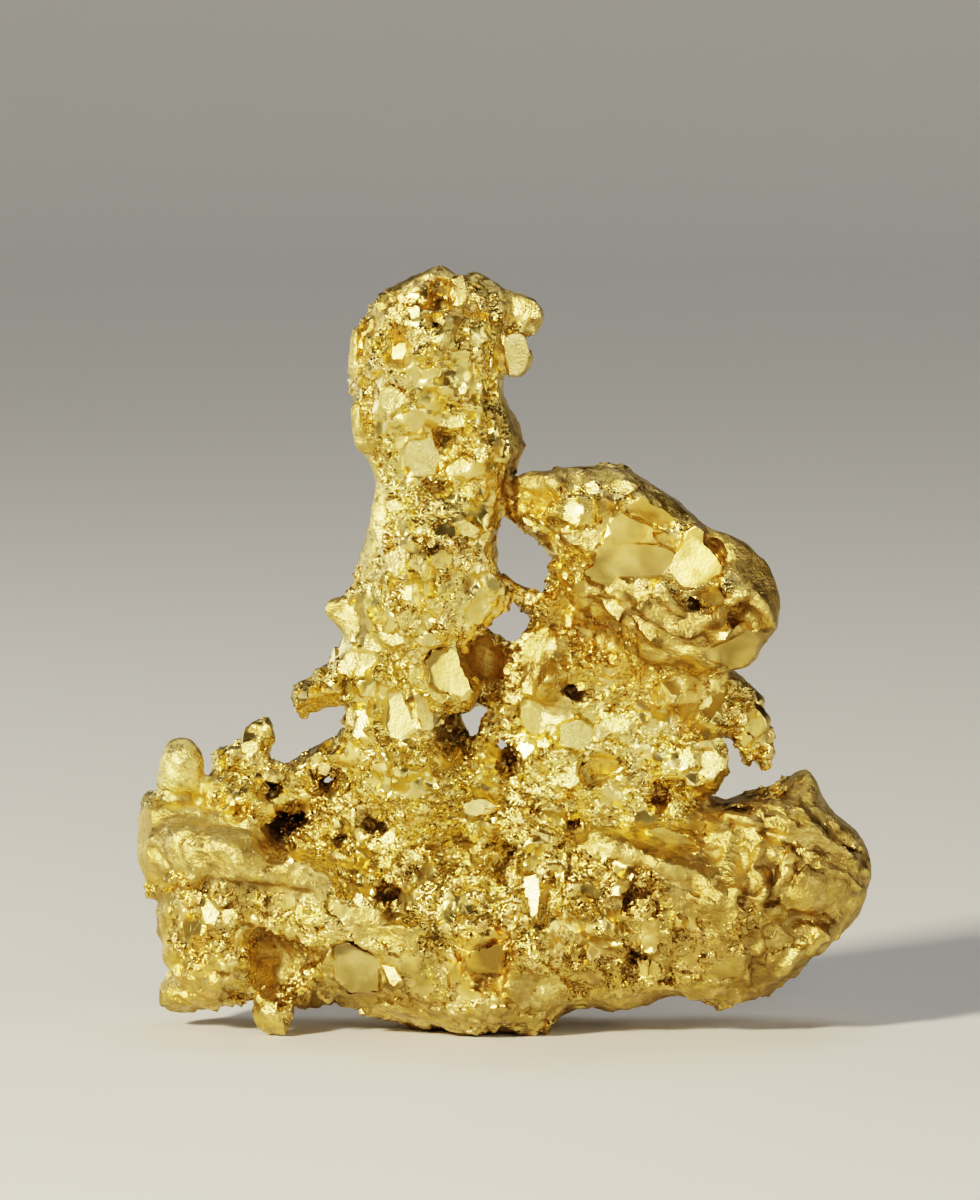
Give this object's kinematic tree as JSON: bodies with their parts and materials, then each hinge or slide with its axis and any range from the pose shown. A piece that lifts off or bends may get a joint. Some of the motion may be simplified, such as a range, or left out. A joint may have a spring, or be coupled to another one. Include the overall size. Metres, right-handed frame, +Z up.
{
  "type": "gold crystal",
  "caption": "Crystallised native gold specimen: a lumpy foot, an upright tower and a drooping arm joined by a rough pierced web, grown as one piece.",
  "frame": {"origin": "centre of the bounding box, on the surface the specimen stands on", "axes": "+Z up the tower, +X towards the arm, -Y out of the front face"},
  "size_m": [0.025, 0.0094, 0.0258],
  "materials": {
    "gold": "native gold, frosted satin on the rolls and flats, bright on crystal faces, amber to brown in the hollows"
  },
  "bodies": {
    "root": {"gold_crystal": "gold"}
  },
  "joints": []
}
